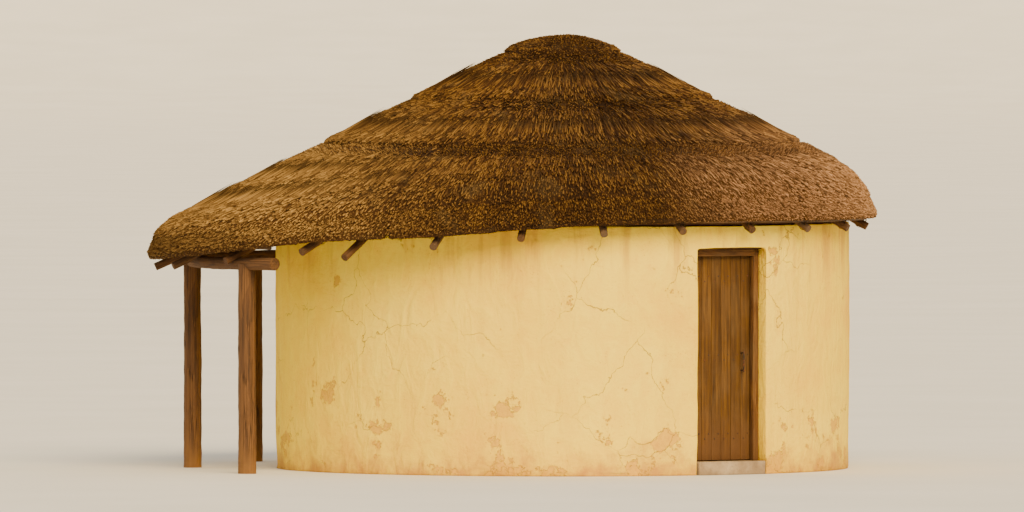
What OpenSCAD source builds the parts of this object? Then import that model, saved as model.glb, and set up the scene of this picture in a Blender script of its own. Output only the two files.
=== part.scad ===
// Round hut with a low thatched roof and a small porch on posts.
// The origin is on the ground, on the axis of the round wall. The front faces -Y and the porch is on the -X side.

/* [Wall] */
// Outer radius of the round wall
wall_r = 2800; // [2700:10:2900]
// Thickness of the plastered wall
wall_t = 280; // [250:5:310]
// Height of the wall above the lintel
over_lintel_h = 140; // [100:5:240]
// Angle from the doorway's middle to the joints of the wall beside it
side_joint_angle = 55; // [45:1:65]
// Angle from the doorway's middle to the joints further back
back_joint_angle = 115; // [105:1:125]
// Thickness of the floor inside the wall
floor_t = 110; // [80:5:125]

/* [Doorway] */
// Direction of the doorway, turned from the front towards the right
door_angle = 36; // [25:1:40]
// Width of the hole in the wall
opening_w = 800; // [760:5:1000]
// Height of the hole above the ground
opening_h = 2160; // [2100:5:2200]
// Height of the sill above the ground
sill_h = 130; // [128:1:150]
// Height of the lintel over the hole
lintel_h = 100; // [80:5:120]
// Depth of the lintel through the wall
lintel_d = 170; // [140:5:175]
// Length of the lintel's bearing in the wall on each side
lintel_bearing_len = 180; // [120:5:200]

/* [Door] */
// Width of each jamb, and height of the head
jamb_w = 45; // [40:1:60]
// Depth of the frame through the wall
frame_d = 135; // [120:1:150]
// Distance of the frame from the wall's inner corner
frame_recess = 30; // [20:1:40]
// Width of the stop that the leaf closes against
stop_w = 20; // [15:1:25]
// Thickness of the boards
leaf_t = 40; // [32:1:45]
// Thickness of the ledges and braces behind the boards
ledge_t = 25; // [22:1:30]
// Height of each ledge
ledge_h = 120; // [90:5:140]
// Distance of the top and bottom ledges from the ends of the boards
ledge_inset = 170; // [120:5:220]
// Width of the braces
brace_w = 100; // [80:5:120]
// Gap round the leaf
leaf_gap = 6; // [5:0.5:8]
// Length of a hinge strap
strap_len = 420; // [300:10:500]
// Height of a hinge strap where it starts
strap_h = 44; // [36:2:50]
// Thickness of the straps and plates
strap_t = 5; // [4:0.5:6]
// Radius of the hinge knuckles
knuckle_r = 9; // [8:0.5:10]
// Radius of the hinge pins
pin_r = 4; // [3:0.5:5]
// Width of the hinge plate on the jamb
hinge_plate_w = 30; // [24:1:30]
// Height of one knuckle
knuckle_h = 40; // [30:1:44]
// Length of the pull handle
handle_len = 200; // [160:5:260]
// Radius of the pull handle's bar
handle_r = 8; // [6:0.5:10]
// Distance of the handle's bar from the boards
handle_reach = 45; // [35:1:55]
// Distance from the edge of the boards to the handle
handle_set = 110; // [80:5:150]
// Height of the handle's middle above the ground
handle_z = 1080; // [950:10:1200]

/* [Roof frame] */
// Pitch of the rafters
rafter_pitch = 29.7; // [29:0.1:30.5]
// Diameter of a rafter pole
rafter_d = 80; // [70:1:90]
// Number of long rafters
rafter_count = 12; // [10:2:12]
// Angle from the +X side to the first long rafter
rafter_turn_angle = 7.5; // [6:0.5:9]
// Depth of the notch where a rafter sits on its plate or beam
notch = 15; // [10:1:20]
// Radius where the short rafters start
jack_start_r = 1250; // [1100:10:1350]
// Width of the wall plate
plate_w = 120; // [100:5:140]
// Height of the wall plate
plate_h = 80; // [70:5:100]
// Distance from the wall's outer face to the middle of the plate
plate_set = 100; // [90:5:110]
// Radius of the boss where the long rafters meet
king_r = 190; // [180:5:220]
// Height of that boss
king_h = 240; // [220:5:300]
// Diameter of a batten
batten_d = 36; // [30:1:40]
// Radius of the first batten ring
batten_first_r = 650; // [600:10:700]
// Distance from one batten ring to the next
batten_step = 375; // [370:1:380]
// Distance from the eave's edge back to the eave batten
batten_eave_set = 150; // [130:5:200]
// Distance from the eave's edge back to the rafter tails
tail_set = 120; // [100:5:180]

/* [Thatch] */
// Pitch of the thatch's outer face
roof_pitch = 26.6; // [26:0.1:27]
// Depth of the thatch at the apex, measured upright
crown_depth = 220; // [200:5:260]
// Radius of the rounded crown
crown_r = 600; // [570:5:700]
// Radius of the joint round the crown
crown_joint_r = 560; // [540:5:565]
// Height of the step at the crown's edge
crown_step = 25; // [10:1:40]
// Height of the step where one layer of grass ends over the next
layer_step = 22; // [10:1:30]
// Layers in the upper course and in the middle course
course_layers = 2; // [1:1:3]
// Layers from the eave joint down to the shoulder
eave_layers = 3; // [2:1:4]
// Length of a layer at the eave that has its full step
layer_len = 400; // [300:10:500]
// Radius of the joint below the upper course
upper_joint_r = 1450; // [1430:5:1470]
// Radius of the joint above the eave course
eave_joint_r = 2300; // [2250:5:2350]
// Radius of the eave away from the porch
eave_r = 3100; // [3050:5:3200]
// Width of the rounded shoulder at the eave
shoulder_w = 450; // [350:10:500]
// Width of the shoulder at the middle of the porch
porch_shoulder_w = 250; // [200:10:300]
// Width of the cut edge of the thatch
edge_w = 70; // [50:5:90]
// Height of the cut edge of the thatch
edge_h = 90; // [70:5:110]

/* [Porch] */
// How far the porch eave reaches beyond the rest
porch_reach = 980; // [900:10:1050]
// How quickly the eave draws in at both sides of the porch
porch_power = 3.5; // [3:0.1:4]
// Pitch of the porch rafters
porch_pitch = 24.2; // [23.5:0.1:25]
// Half the angle that the porch rafters cover
porch_half_angle = 45; // [44:1:48]
// Half the angle where the flatter pitch has run out
porch_blend_angle = 75; // [70:1:80]
// Angle between porch rafters
porch_rafter_angle = 15; // [15:1:16]
// Diameter of a post
post_d = 170; // [150:5:190]
// Radius of the circle that the posts stand on
post_ring_r = 3600; // [3560:5:3640]
// Angle from the middle post to each of the others
post_angle = 32.5; // [30:0.5:34]
// Diameter of the curved beam
beam_d = 130; // [110:5:150]
// Half the angle that the beam covers
beam_half_angle = 40; // [38:0.5:42]
// Radius of the first porch batten
porch_batten_r = 3000; // [2950:5:3050]
// Distance from one porch batten to the next
porch_batten_step = 300; // [280:5:320]

/* [Hidden] */

// Facets of the large rounds, and of poles and small parts
$fn = 360;
pole_fn = 64;

// Angle of a whole turn
turn_angle = 360;

// Clearance between round faces that lie against each other
fit = 0.3;
// Clearance under the eave courses, whose faces are flat facets
facet_fit = 0.8;
// A length that reaches past anything it cuts
far = 9000;
// Angle between two sections of the eave courses
section_angle = 3;
// Steps along the rounded shoulder of the thatch
shoulder_count = 5;
// Direction of the porch's middle
porch_angle = 180;
// Angles where the eave courses meet
porch_course_angle = 60;
front_course_angle = 320;
back_course_angle = 40;

inner_r = wall_r - wall_t;
// Height of the wall above the ground
wall_h = opening_h + lintel_h + over_lintel_h;
half_opening = opening_w / 2;
half_door = half_opening - jamb_w;

// Distances outward from the axis, in the doorway's own direction
frame_in = sqrt(inner_r * inner_r - half_opening * half_opening) + frame_recess;
frame_out = frame_in + frame_d;
boards_in = frame_in + ledge_t;
boards_out = boards_in + leaf_t;
stop_in = boards_out + leaf_gap;

leaf_half = half_door - leaf_gap;
leaf_bottom = sill_h + leaf_gap;
leaf_top = opening_h - jamb_w - leaf_gap;
hinge_x = -(half_door - leaf_gap / 2);
hinge_y = frame_in - knuckle_r;
low_ledge_z = leaf_bottom + ledge_inset;
high_ledge_z = leaf_top - ledge_inset - ledge_h;
middle_ledge_z = (low_ledge_z + high_ledge_z) / 2;
// Distance from the edge of the boards to the end of a ledge
ledge_end = 12;
// Heights of the middles of the two hinges
hinge_zs = [low_ledge_z + ledge_h / 2, high_ledge_z + ledge_h / 2];
// Gap between two knuckles of a hinge
knuckle_gap = 1;

// Heights of the roof, built up from the wall plate
plate_r = wall_r - plate_set;
plate_top = wall_h + plate_h;
rafter_rise = tan(rafter_pitch);
porch_rise = tan(porch_pitch);
roof_rise = tan(roof_pitch);
batten_pack = batten_d + fit + facet_fit;
rafter_axis_at_plate = plate_top + rafter_d / 2 / cos(rafter_pitch) - notch;
under_at_plate = rafter_axis_at_plate + (rafter_d / 2 + batten_pack) / cos(rafter_pitch);
under_apex = under_at_plate + plate_r * rafter_rise;
top_apex = under_apex + crown_depth;
porch_axis_at_plate = under_at_plate - (rafter_d / 2 + batten_pack) / cos(porch_pitch);
beam_axis_z = porch_axis_at_plate - (post_ring_r - plate_r) * porch_rise
    - rafter_d / 2 / cos(porch_pitch) + notch - beam_d / 2;

// Underside of the thatch at a radius, away from the porch
function under_z(r) = under_apex - r * rafter_rise;
// Axis of a main rafter at a radius
function rafter_z(r) = rafter_axis_at_plate + (plate_r - r) * rafter_rise;
// Axis of a porch rafter at a radius
function porch_rafter_z(r) = porch_axis_at_plate - (r - plate_r) * porch_rise;
// Outer face of the thatch at a radius, rounded over the crown
function top_z(r) = r > crown_r
    ? top_apex - r * roof_rise
    : top_apex - roof_rise * (crown_r / 2 + r * r / (2 * crown_r));

// Angle between a direction and the porch's middle
function off_porch(a) = abs(a - porch_angle);
// How much of the porch's reach the eave has in a direction
function reach_share(a) = pow((1 + cos(off_porch(a))) / 2, porch_power);
// Radius of the eave in a direction
function edge_r(a) = eave_r + porch_reach * reach_share(a);
// How much of the porch's flatter pitch the underside has in a direction
function pitch_share(a) = off_porch(a) <= porch_half_angle ? 1
    : off_porch(a) >= porch_blend_angle ? 0
    : (1 + cos(180 * (off_porch(a) - porch_half_angle) / (porch_blend_angle - porch_half_angle))) / 2;
// Underside of the eave course outside the plate
function eave_under_z(r, a) = under_at_plate
    - (r - plate_r) * (rafter_rise + (porch_rise - rafter_rise) * pitch_share(a));
// Half the angle at which the eave reaches a radius
function half_angle_at(r) = acos(2 * pow((r - eave_r) / porch_reach, 1 / porch_power) - 1);

function bezier(a, b, c, t) = (1 - t) * (1 - t) * a + 2 * t * (1 - t) * b + t * t * c;

// Outer face of layers of grass, from the lowest up, each ending as a step over the next
function layers(from_r, to_r, count, step) = [
    for (i = [count : -1 : 1])
        let (
            upper_r = from_r + (i - 1) * (to_r - from_r) / count,
            lower_r = from_r + i * (to_r - from_r) / count
        )
        each [[lower_r, top_z(lower_r)], [upper_r, top_z(upper_r) - (i > 1 ? step : layer_step)]]
];

// Section of the eave course in a direction, as points of radius and height
function eave_section(a) =
    let (
        edge = edge_r(a),
        joint = (eave_joint_r + fit) / cos(section_angle / 2),
        shoulder = shoulder_w + (porch_shoulder_w - shoulder_w) * reach_share(a),
        start_r = edge - shoulder,
        start = [start_r, top_z(start_r) - layer_step],
        bend = [edge - shoulder / 3, top_z(edge - shoulder / 3)],
        tip = [edge, eave_under_z(edge, a) + edge_h],
        step = layer_step * min(1, (start_r - joint) / eave_layers / layer_len)
    )
    concat(
        [
            [joint, under_z(joint)],
            [plate_r, under_at_plate],
            [edge - edge_w, eave_under_z(edge - edge_w, a)],
            tip
        ],
        [for (i = [shoulder_count - 1 : -1 : 0]) bezier(start, bend, tip, i / shoulder_count)],
        layers(joint, start_r, eave_layers, step)
    );

function eave_ring(a) = [for (p = eave_section(a)) [p[0] * cos(a), p[0] * sin(a), p[1]]];

// Angle that takes half the clearance off the end of a piece at a radius
function trim(r) = fit / 2 / r * 180 / PI;

// Eave course between two directions, as a loft through its sections
module eave_course(from_a, to_a) {
    spans = round((to_a - from_a) / section_angle);
    sides = len(eave_section(from_a));
    first_a = from_a + trim(eave_joint_r);
    sweep = to_a - from_a - 2 * trim(eave_joint_r);
    points = [for (i = [0 : spans]) each eave_ring(first_a + i * sweep / spans)];
    skin = [
        for (i = [0 : spans - 1], j = [0 : sides - 1])
            let (k = (j + 1) % sides)
            each [
                [i * sides + j, (i + 1) * sides + k, i * sides + k],
                [i * sides + j, (i + 1) * sides + j, (i + 1) * sides + k]
            ]
    ];
    near_end = [[for (j = [0 : sides - 1]) j]];
    far_end = [[for (j = [sides - 1 : -1 : 0]) spans * sides + j]];
    polyhedron(points, concat(skin, near_end, far_end));
}

// Turns what faces -Y to the doorway's direction
module at_door() {
    rotate([0, 0, door_angle]) children();
}

// Sector of the space round the axis between two directions measured from the doorway
module door_sector(from_a, to_a) {
    middle = (from_a + to_a) / 2;
    reach = far / cos((to_a - from_a) / 2);
    rotate([0, 0, middle - 90])
        linear_extrude(far)
            polygon([
                [0, 0],
                [reach * cos((to_a - from_a) / 2), -reach * sin((to_a - from_a) / 2)],
                [reach * cos((to_a - from_a) / 2), reach * sin((to_a - from_a) / 2)]
            ]);
}

module door_hole() {
    translate([-half_opening, -far, -1])
        cube([opening_w, far, far]);
}

module lintel_shape() {
    translate([-half_opening - lintel_bearing_len, -inner_r - lintel_d, opening_h])
        cube([opening_w + 2 * lintel_bearing_len, lintel_d, lintel_h]);
}

module wall_ring() {
    difference() {
        cylinder(r = wall_r, h = wall_h);
        translate([0, 0, -1]) cylinder(r = inner_r, h = wall_h + 2);
    }
}

// Piece of the wall between two directions measured from the doorway
module wall_piece(from_a, to_a) {
    color("burlywood")
        at_door()
            difference() {
                intersection() {
                    wall_ring();
                    door_sector(from_a + trim(inner_r), to_a - trim(inner_r));
                }
                door_hole();
                lintel_shape();
            }
}

module wall_beside_door_left() { wall_piece(-side_joint_angle, 0); }
module wall_beside_door_right() { wall_piece(0, side_joint_angle); }
module wall_left() { wall_piece(-back_joint_angle, -side_joint_angle); }
module wall_right() { wall_piece(side_joint_angle, back_joint_angle); }
module wall_back_left() { wall_piece(-180, -back_joint_angle); }
module wall_back_right() { wall_piece(back_joint_angle, 180); }

module wall_over_door() {
    color("burlywood")
        at_door()
            difference() {
                intersection() {
                    wall_ring();
                    translate([-half_opening + fit, -far, opening_h + fit])
                        cube([opening_w - 2 * fit, far, far]);
                }
                lintel_shape();
            }
}

module floor_slab() {
    color("sienna") cylinder(r = inner_r - fit, h = floor_t);
}

module threshold() {
    color("rosybrown")
        at_door()
            difference() {
                intersection() {
                    cylinder(r = wall_r, h = sill_h);
                    translate([-half_opening, -far, 0])
                        cube([opening_w, far, sill_h]);
                }
                translate([0, 0, -1]) cylinder(r = inner_r, h = sill_h + 2);
            }
}

module lintel() {
    color("saddlebrown") at_door() lintel_shape();
}

module wall_plate() {
    color("saddlebrown")
        translate([0, 0, wall_h + fit])
            difference() {
                cylinder(r = plate_r + plate_w / 2, h = plate_h - fit);
                translate([0, 0, -1]) cylinder(r = plate_r - plate_w / 2, h = plate_h + 2);
            }
}

// Left jamb of the door frame, with a stop that ends under the head's stop
module jamb() {
    translate([-half_opening, -frame_out, sill_h])
        cube([jamb_w, frame_d, opening_h - sill_h]);
    translate([-half_door, -frame_out, sill_h])
        cube([stop_w, frame_out - stop_in, opening_h - jamb_w - stop_w - sill_h]);
}

module door_jamb_left() { color("saddlebrown") at_door() jamb(); }
module door_jamb_right() { color("saddlebrown") at_door() mirror([1, 0, 0]) jamb(); }

// Head between the jambs, with a stop across the whole width
module door_head() {
    color("saddlebrown")
        at_door() {
            translate([-half_door, -frame_out, opening_h - jamb_w])
                cube([2 * half_door, frame_d, jamb_w]);
            translate([-half_door, -frame_out, opening_h - jamb_w - stop_w])
                cube([2 * half_door, frame_out - stop_in, stop_w]);
        }
}

module door_leaf() {
    color("peru")
        at_door()
            translate([-leaf_half, -boards_out, leaf_bottom])
                cube([2 * leaf_half, leaf_t, leaf_top - leaf_bottom]);
}

// Brace that rises from the hinge side, between two ledges
module brace(from_z, to_z) {
    run = 2 * (leaf_half - ledge_end - brace_w);
    intersection() {
        translate([-leaf_half + ledge_end, -boards_in, from_z])
            cube([2 * (leaf_half - ledge_end), ledge_t, to_z - from_z]);
        translate([0, -frame_in, (from_z + to_z) / 2])
            rotate([90, -atan((to_z - from_z) / run), 0])
                translate([-far / 2, -brace_w / 2, 0])
                    cube([far, brace_w, ledge_t]);
    }
}

module door_ledges() {
    color("peru")
        at_door() {
            for (z = [low_ledge_z, middle_ledge_z, high_ledge_z])
                translate([-leaf_half + ledge_end, -boards_in, z])
                    cube([2 * (leaf_half - ledge_end), ledge_t, ledge_h]);
            brace(low_ledge_z + ledge_h, middle_ledge_z);
            brace(middle_ledge_z + ledge_h, high_ledge_z);
        }
}

module knuckle(z) {
    translate([hinge_x, -hinge_y, z - knuckle_h / 2])
        difference() {
            cylinder(r = knuckle_r, h = knuckle_h, $fn = pole_fn);
            translate([0, 0, -1]) cylinder(r = pin_r + fit, h = knuckle_h + 2, $fn = pole_fn);
        }
}

module door_hinges() {
    color("dimgray")
        at_door()
            for (z = hinge_zs)
                difference() {
                    union() {
                        knuckle(z);
                        translate([hinge_x, -frame_in, z])
                            rotate([90, 0, 0])
                                mirror([0, 0, 1])
                                    linear_extrude(strap_t)
                                        polygon([
                                            [knuckle_r / 3, -strap_h / 2 + 2],
                                            [strap_len, -strap_h / 4],
                                            [strap_len, strap_h / 4],
                                            [knuckle_r / 3, strap_h / 2 - 2]
                                        ]);
                    }
                    translate([hinge_x, -hinge_y, z - knuckle_h])
                        cylinder(r = pin_r + fit, h = 2 * knuckle_h, $fn = pole_fn);
                }
}

// Plate on the jamb, with the two knuckles that hold the pin
module hinge_plate(z) {
    plate_h = 3 * knuckle_h + 2 * knuckle_gap;
    plate_edge = hinge_x - knuckle_r - knuckle_gap;
    translate([plate_edge - hinge_plate_w, -frame_in, z - plate_h / 2])
        cube([hinge_plate_w, strap_t, plate_h]);
    for (side = [-1, 1])
        translate([0, 0, z + side * (knuckle_h + knuckle_gap) - knuckle_h / 2]) {
            translate([plate_edge - hinge_plate_w, -frame_in, 0])
                cube([hinge_x - knuckle_r / 3 - plate_edge + hinge_plate_w, strap_t, knuckle_h]);
            translate([hinge_x, -hinge_y, 0])
                cylinder(r = knuckle_r, h = knuckle_h, $fn = pole_fn);
        }
    translate([hinge_x, -hinge_y, z - knuckle_h])
        cylinder(r = pin_r, h = 2 * knuckle_h, $fn = pole_fn);
}

module hinge_plates() {
    color("dimgray")
        at_door()
            for (z = hinge_zs) hinge_plate(z);
}

module door_handle() {
    color("dimgray")
        at_door()
            translate([leaf_half - handle_set, -boards_out, handle_z]) {
                for (side = [-1, 1])
                    translate([0, 0, side * (handle_len / 2 - 2 * handle_r)])
                        rotate([90, 0, 0])
                            cylinder(r = handle_r * 0.75, h = handle_reach, $fn = pole_fn);
                translate([0, -handle_reach, -handle_len / 2])
                    cylinder(r = handle_r, h = handle_len, $fn = pole_fn);
            }
}

// Boss at the middle of the roof frame
module king_boss() {
    top = under_z(king_r) - fit;
    color("sienna")
        translate([0, 0, top - king_h]) cylinder(r = king_r, h = king_h);
}

// Pole that slopes down and outward between two radii, with upright ends
module sloping_pole(from_r, to_r, from_z, pitch) {
    rise = tan(pitch);
    lead = rafter_d;
    intersection() {
        translate([from_r - lead, 0, from_z + lead * rise])
            rotate([0, 90 + pitch, 0])
                cylinder(d = rafter_d, h = (to_r - from_r + 2 * lead) / cos(pitch), $fn = pole_fn);
        translate([from_r, -rafter_d, 0])
            cube([to_r - from_r, 2 * rafter_d, far]);
    }
}

// Space taken by the wall plate, which rafters are notched over
module plate_space() {
    translate([0, 0, wall_h])
        difference() {
            cylinder(r = plate_r + plate_w / 2 + fit, h = plate_h);
            translate([0, 0, -1]) cylinder(r = plate_r - plate_w / 2 - fit, h = plate_h + 2);
        }
}

// Radius where a main rafter ends in a direction
function tail_r(a) = off_porch(a) < porch_half_angle ? wall_r : edge_r(a) - tail_set;

module rafters(from_r, first_angle) {
    for (i = [0 : rafter_count - 1]) {
        a = first_angle + i * turn_angle / rafter_count;
        rotate([0, 0, a])
            difference() {
                sloping_pole(from_r, tail_r(a), rafter_z(from_r), rafter_pitch);
                plate_space();
            }
    }
}

module main_rafters() {
    color("sienna")
        difference() {
            rafters(king_r - rafter_d, rafter_turn_angle);
            cylinder(r = king_r + fit, h = far);
        }
}

module jack_rafters() {
    color("sienna") rafters(jack_start_r, rafter_turn_angle + turn_angle / 2 / rafter_count);
}

// Batten ring, or part of one, at a radius
module batten(r, clear, from_a = 0, sweep = turn_angle, under = 0, pitch = rafter_pitch) {
    z = under - (batten_d / 2 + clear) / cos(pitch);
    rotate([0, 0, from_a])
        rotate_extrude(angle = sweep)
            translate([r, z]) circle(d = batten_d, $fn = 32);
}

function batten_ring_r(i) = batten_first_r + i * batten_step;

module batten_rings(first, last) {
    for (i = [first : last])
        batten(
            batten_ring_r(i),
            batten_ring_r(i) > eave_joint_r ? facet_fit : fit,
            under = under_z(batten_ring_r(i))
        );
}

module battens_upper() { color("peru") batten_rings(0, 1); }
module battens_middle() { color("peru") batten_rings(2, 3); }
module battens_lower() { color("peru") batten_rings(4, 5); }

module battens_eave() {
    r = eave_r - batten_eave_set;
    color("peru")
        batten(
            r, facet_fit,
            from_a = porch_angle + porch_blend_angle,
            sweep = turn_angle - 2 * porch_blend_angle,
            under = under_z(r)
        );
}

// Course of thatch between two radii
module thatch_course(from_r, to_r) {
    color("olivedrab")
        rotate_extrude()
            polygon(concat(
                [[from_r, under_z(from_r)], [to_r, under_z(to_r)]],
                layers(from_r, to_r, course_layers, layer_step)
            ));
}

module thatch_crown() {
    steps = 8;
    color("olivedrab")
        rotate_extrude()
            polygon(concat(
                [[0, under_apex], [crown_joint_r, under_z(crown_joint_r)]],
                [for (i = [steps : -1 : 0])
                    let (r = crown_joint_r * i / steps)
                    [r, top_z(r) + crown_step]]
            ));
}

module thatch_upper() { thatch_course(crown_joint_r + fit, upper_joint_r); }
module thatch_middle() { thatch_course(upper_joint_r + fit, eave_joint_r); }

module thatch_porch() {
    color("olivedrab")
        eave_course(porch_angle - porch_course_angle, porch_angle + porch_course_angle);
}

module thatch_eave_front() {
    color("olivedrab") eave_course(porch_angle + porch_course_angle, front_course_angle);
}

module thatch_eave_right() {
    color("olivedrab") eave_course(front_course_angle - turn_angle, back_course_angle);
}

module thatch_eave_back() {
    color("olivedrab") eave_course(back_course_angle, porch_angle - porch_course_angle);
}

// Space taken by the curved porch beam
module beam_space(clear) {
    rotate([0, 0, porch_angle - beam_half_angle])
        rotate_extrude(angle = 2 * beam_half_angle)
            translate([post_ring_r, beam_axis_z]) circle(d = beam_d + 2 * clear, $fn = 48);
}

module porch_beam() {
    color("sienna") beam_space(0);
}

// Post in a direction, with a straight saddle that holds the curved beam
module porch_post(a) {
    beam_sag = post_ring_r - sqrt(post_ring_r * post_ring_r - post_d * post_d / 4);
    color("sienna")
        rotate([0, 0, a])
            difference() {
                translate([post_ring_r, 0, 0])
                    cylinder(d = post_d, h = beam_axis_z, $fn = pole_fn);
                translate([post_ring_r - beam_sag / 2, post_d, beam_axis_z])
                    rotate([90, 0, 0])
                        cylinder(r = beam_d / 2 + fit + beam_sag / 2, h = 2 * post_d, $fn = pole_fn);
            }
}

module porch_post_front() { porch_post(porch_angle + post_angle); }
module porch_post_middle() { porch_post(porch_angle); }
module porch_post_back() { porch_post(porch_angle - post_angle); }

module porch_rafters() {
    side_count = floor(porch_half_angle / porch_rafter_angle);
    start_r = plate_r - plate_w;
    color("sienna")
        difference() {
            for (i = [-side_count : side_count]) {
                a = porch_angle + i * porch_rafter_angle;
                rotate([0, 0, a])
                    sloping_pole(start_r, edge_r(a) - tail_set, porch_rafter_z(start_r), porch_pitch);
            }
            plate_space();
            beam_space(fit);
        }
}

module porch_battens() {
    count = floor((porch_reach - batten_eave_set) / porch_batten_step);
    color("peru")
        for (i = [0 : count]) {
            r = porch_batten_r + i * porch_batten_step;
            half = r + batten_eave_set > eave_r
                ? min(porch_half_angle, half_angle_at(r + batten_eave_set))
                : porch_half_angle;
            batten(
                r, facet_fit,
                from_a = porch_angle - half,
                sweep = 2 * half,
                under = eave_under_z(r, porch_angle),
                pitch = porch_pitch
            );
        }
}

floor_slab();
threshold();
wall_beside_door_left();
wall_beside_door_right();
wall_over_door();
wall_left();
wall_right();
wall_back_left();
wall_back_right();
lintel();
wall_plate();
door_jamb_left();
door_jamb_right();
door_head();
door_leaf();
door_ledges();
door_hinges();
hinge_plates();
door_handle();
king_boss();
main_rafters();
jack_rafters();
battens_upper();
battens_middle();
battens_lower();
battens_eave();
thatch_crown();
thatch_upper();
thatch_middle();
thatch_eave_front();
thatch_eave_right();
thatch_eave_back();
thatch_porch();
porch_post_front();
porch_post_middle();
porch_post_back();
porch_beam();
porch_rafters();
porch_battens();
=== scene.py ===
import math

import bmesh
import bpy
import numpy as np
from mathutils import Matrix, Vector, kdtree, noise


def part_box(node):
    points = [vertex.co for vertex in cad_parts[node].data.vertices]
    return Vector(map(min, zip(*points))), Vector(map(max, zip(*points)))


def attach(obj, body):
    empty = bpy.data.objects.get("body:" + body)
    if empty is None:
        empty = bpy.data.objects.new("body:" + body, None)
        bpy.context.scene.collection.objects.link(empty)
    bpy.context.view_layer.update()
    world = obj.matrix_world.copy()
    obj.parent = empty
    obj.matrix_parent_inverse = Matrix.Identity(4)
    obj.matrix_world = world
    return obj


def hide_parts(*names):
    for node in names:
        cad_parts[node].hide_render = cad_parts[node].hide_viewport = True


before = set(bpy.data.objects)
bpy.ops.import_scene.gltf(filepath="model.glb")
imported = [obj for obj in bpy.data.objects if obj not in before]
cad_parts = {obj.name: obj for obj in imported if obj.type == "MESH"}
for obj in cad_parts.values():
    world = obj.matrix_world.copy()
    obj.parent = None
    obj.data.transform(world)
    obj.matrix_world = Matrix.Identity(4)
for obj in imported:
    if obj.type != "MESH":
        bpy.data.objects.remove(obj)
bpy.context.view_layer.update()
print("frame loaded:", len(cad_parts), "nodes")


# reading sizes off the frame

def nodePoints(*names):
    # corners of one or more nodes, as rows of x, y and z
    return np.array([v.co[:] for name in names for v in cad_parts[name].data.vertices])


def radii(points):
    return np.hypot(points[:, 0], points[:, 1])


wallNames = [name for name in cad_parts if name.startswith("wall_") and name != "wall_plate"]
wallPoints = nodePoints(*wallNames)
wallOuter = float(radii(wallPoints).max())
wallInner = float(radii(wallPoints).min())
wallTop = float(wallPoints[:, 2].max())
leafMiddle = nodePoints("door_leaf").mean(axis=0)
doorTurn = math.atan2(leafMiddle[1], leafMiddle[0]) + math.pi / 2
toDoor = Matrix.Rotation(-doorTurn, 4, "Z")  # turns the doorway to face -Y
fromDoor = Matrix.Rotation(doorTurn, 4, "Z")


def inDoorway(*names):
    # lowest and highest corners of nodes, measured square to the doorway
    turned = nodePoints(*names) @ np.array(toDoor.to_3x3()).T
    return turned.min(axis=0), turned.max(axis=0)


holeHalf, _, holeTop = map(float, inDoorway("door_jamb_left", "door_jamb_right")[1])


def looseObject(name, data):
    piece = bpy.data.objects.new(name, data)
    bpy.context.scene.collection.objects.link(piece)
    return piece


# camera

cameraLook = {
    "aim": (-0.49, 0.0, 2.06),
    "distance": 150.0,
    "elevation": 1.0,  # degrees above level
    "lens": 541.5,
    "seesTo": 3000,
}


def makeCamera():
    data = bpy.data.cameras.new("viewCamera")
    data.lens = cameraLook["lens"]
    data.clip_end = cameraLook["seesTo"]
    camera = looseObject("viewCamera", data)
    lift = math.radians(cameraLook["elevation"])
    aim = Vector(cameraLook["aim"])
    away = Vector((0, -math.cos(lift), math.sin(lift)))
    camera.location = aim + away * cameraLook["distance"]
    camera.rotation_euler = (-away).to_track_quat("-Z", "Y").to_euler()
    bpy.context.scene.camera = camera


makeCamera()


# small helpers for meshes

creaseAngle = 0.7  # in radians; sharper edges are shaded as creases


def newPiece(name, mesh, body, material, nodes=()):
    piece = looseObject(name, mesh)
    mesh.materials.clear()
    mesh.materials.append(material)
    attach(piece, body)
    if nodes:
        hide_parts(*nodes)


def meshOf(name, points, edges=(), faces=()):
    mesh = bpy.data.meshes.new(name)
    mesh.from_pydata([tuple(p) for p in points], edges, faces)
    return mesh


def asMesh(work, name):
    mesh = bpy.data.meshes.new(name)
    work.to_mesh(mesh)
    work.free()
    return mesh


def rounded(work, sharpest, offset, **options):
    # rounds off the edges that turn by more than an angle
    edges = [e for e in work.edges if len(e.link_faces) == 2 and e.calc_face_angle() > sharpest]
    bmesh.ops.bevel(work, geom=edges, offset=offset, segments=2, affect="EDGES", profile=0.5, **options)


def addTo(joined, work):
    # adds one bmesh to another, and says how many corners it had
    part = asMesh(work, "part")
    joined.from_mesh(part)
    count = len(part.vertices)
    bpy.data.meshes.remove(part)
    return count


def spreadOut(number, start):
    # a value from 0 to 1 that differs from piece to piece
    return (number * 0.618034 + start) % 1.0


def mergedCopy(node):
    # a node's triangles as one welded bmesh
    work = bmesh.new()
    work.from_mesh(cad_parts[node].data)
    bmesh.ops.remove_doubles(work, verts=work.verts, dist=0.00002)
    return work


# small helpers for node trees

def put(tree, kind, inputs=None, **settings):
    # adds a node; a socket among the inputs is linked, anything else is a set value
    node = tree.nodes.new(kind)
    for key, value in settings.items():
        setattr(node, key, value)
    for key, value in (inputs or {}).items():
        if isinstance(value, bpy.types.NodeSocket):
            tree.links.new(value, node.inputs[key])
        else:
            node.inputs[key].default_value = value
    return node


def objectPlace(tree):
    return put(tree, "ShaderNodeTexCoord").outputs["Object"]


def storedOn(tree, name, output="Fac"):
    # an attribute that the mesh carries
    return put(tree, "ShaderNodeAttribute", attribute_name=name).outputs[output]


def axesOf(tree, vector):
    return put(tree, "ShaderNodeSeparateXYZ", {0: vector}).outputs


def fromAxes(tree, *axes):
    return put(tree, "ShaderNodeCombineXYZ", dict(enumerate(axes))).outputs[0]


def stretched(tree, place, scale, turn=(0, 0, 0)):
    return put(tree, "ShaderNodeMapping", {"Vector": place, "Scale": scale, "Rotation": turn}).outputs[0]


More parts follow.
